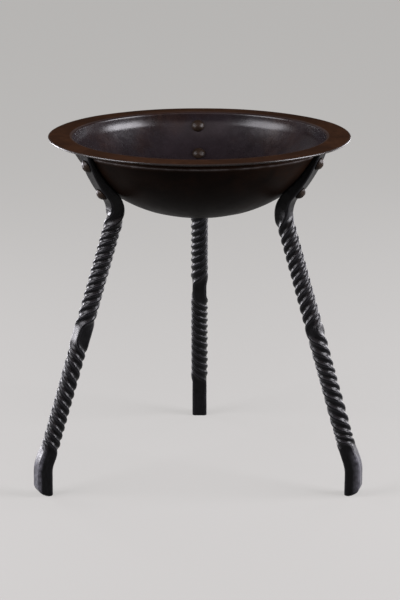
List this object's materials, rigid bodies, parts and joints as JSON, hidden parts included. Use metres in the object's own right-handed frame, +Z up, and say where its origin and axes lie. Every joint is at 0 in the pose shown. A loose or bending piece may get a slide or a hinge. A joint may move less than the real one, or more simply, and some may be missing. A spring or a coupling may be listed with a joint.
{
  "type": "fire bowl",
  "caption": "Round flanged steel fire bowl on splayed legs of twisted square bar, each leg riveted to the outside of the pan, with feet turned down flat.",
  "frame": {"origin": "on the floor, on the pan's vertical axis, midway between the three feet", "axes": "+Z up along the pan's axis, +Y towards the rear leg, +X to the right seen from the front"},
  "size_m": [0.3425, 0.3521, 0.363],
  "materials": {
    "sheet_steel": "oil-blackened sheet steel, satin, faint brown patina on the flange",
    "forged_bar": "black forged steel, semi-gloss, lighter on worn ridges and faces",
    "rivet_steel": "hammered rivet heads, dark with a slight bronze tint"
  },
  "bodies": {
    "root": {"bowl": "sheet_steel", "leg_left": "forged_bar", "leg_right": "forged_bar", "leg_rear": "forged_bar", "rivet_left_upper": "rivet_steel", "rivet_left_lower": "rivet_steel", "rivet_right_upper": "rivet_steel", "rivet_right_lower": "rivet_steel", "rivet_rear_upper": "rivet_steel", "rivet_rear_lower": "rivet_steel"}
  },
  "joints": []
}
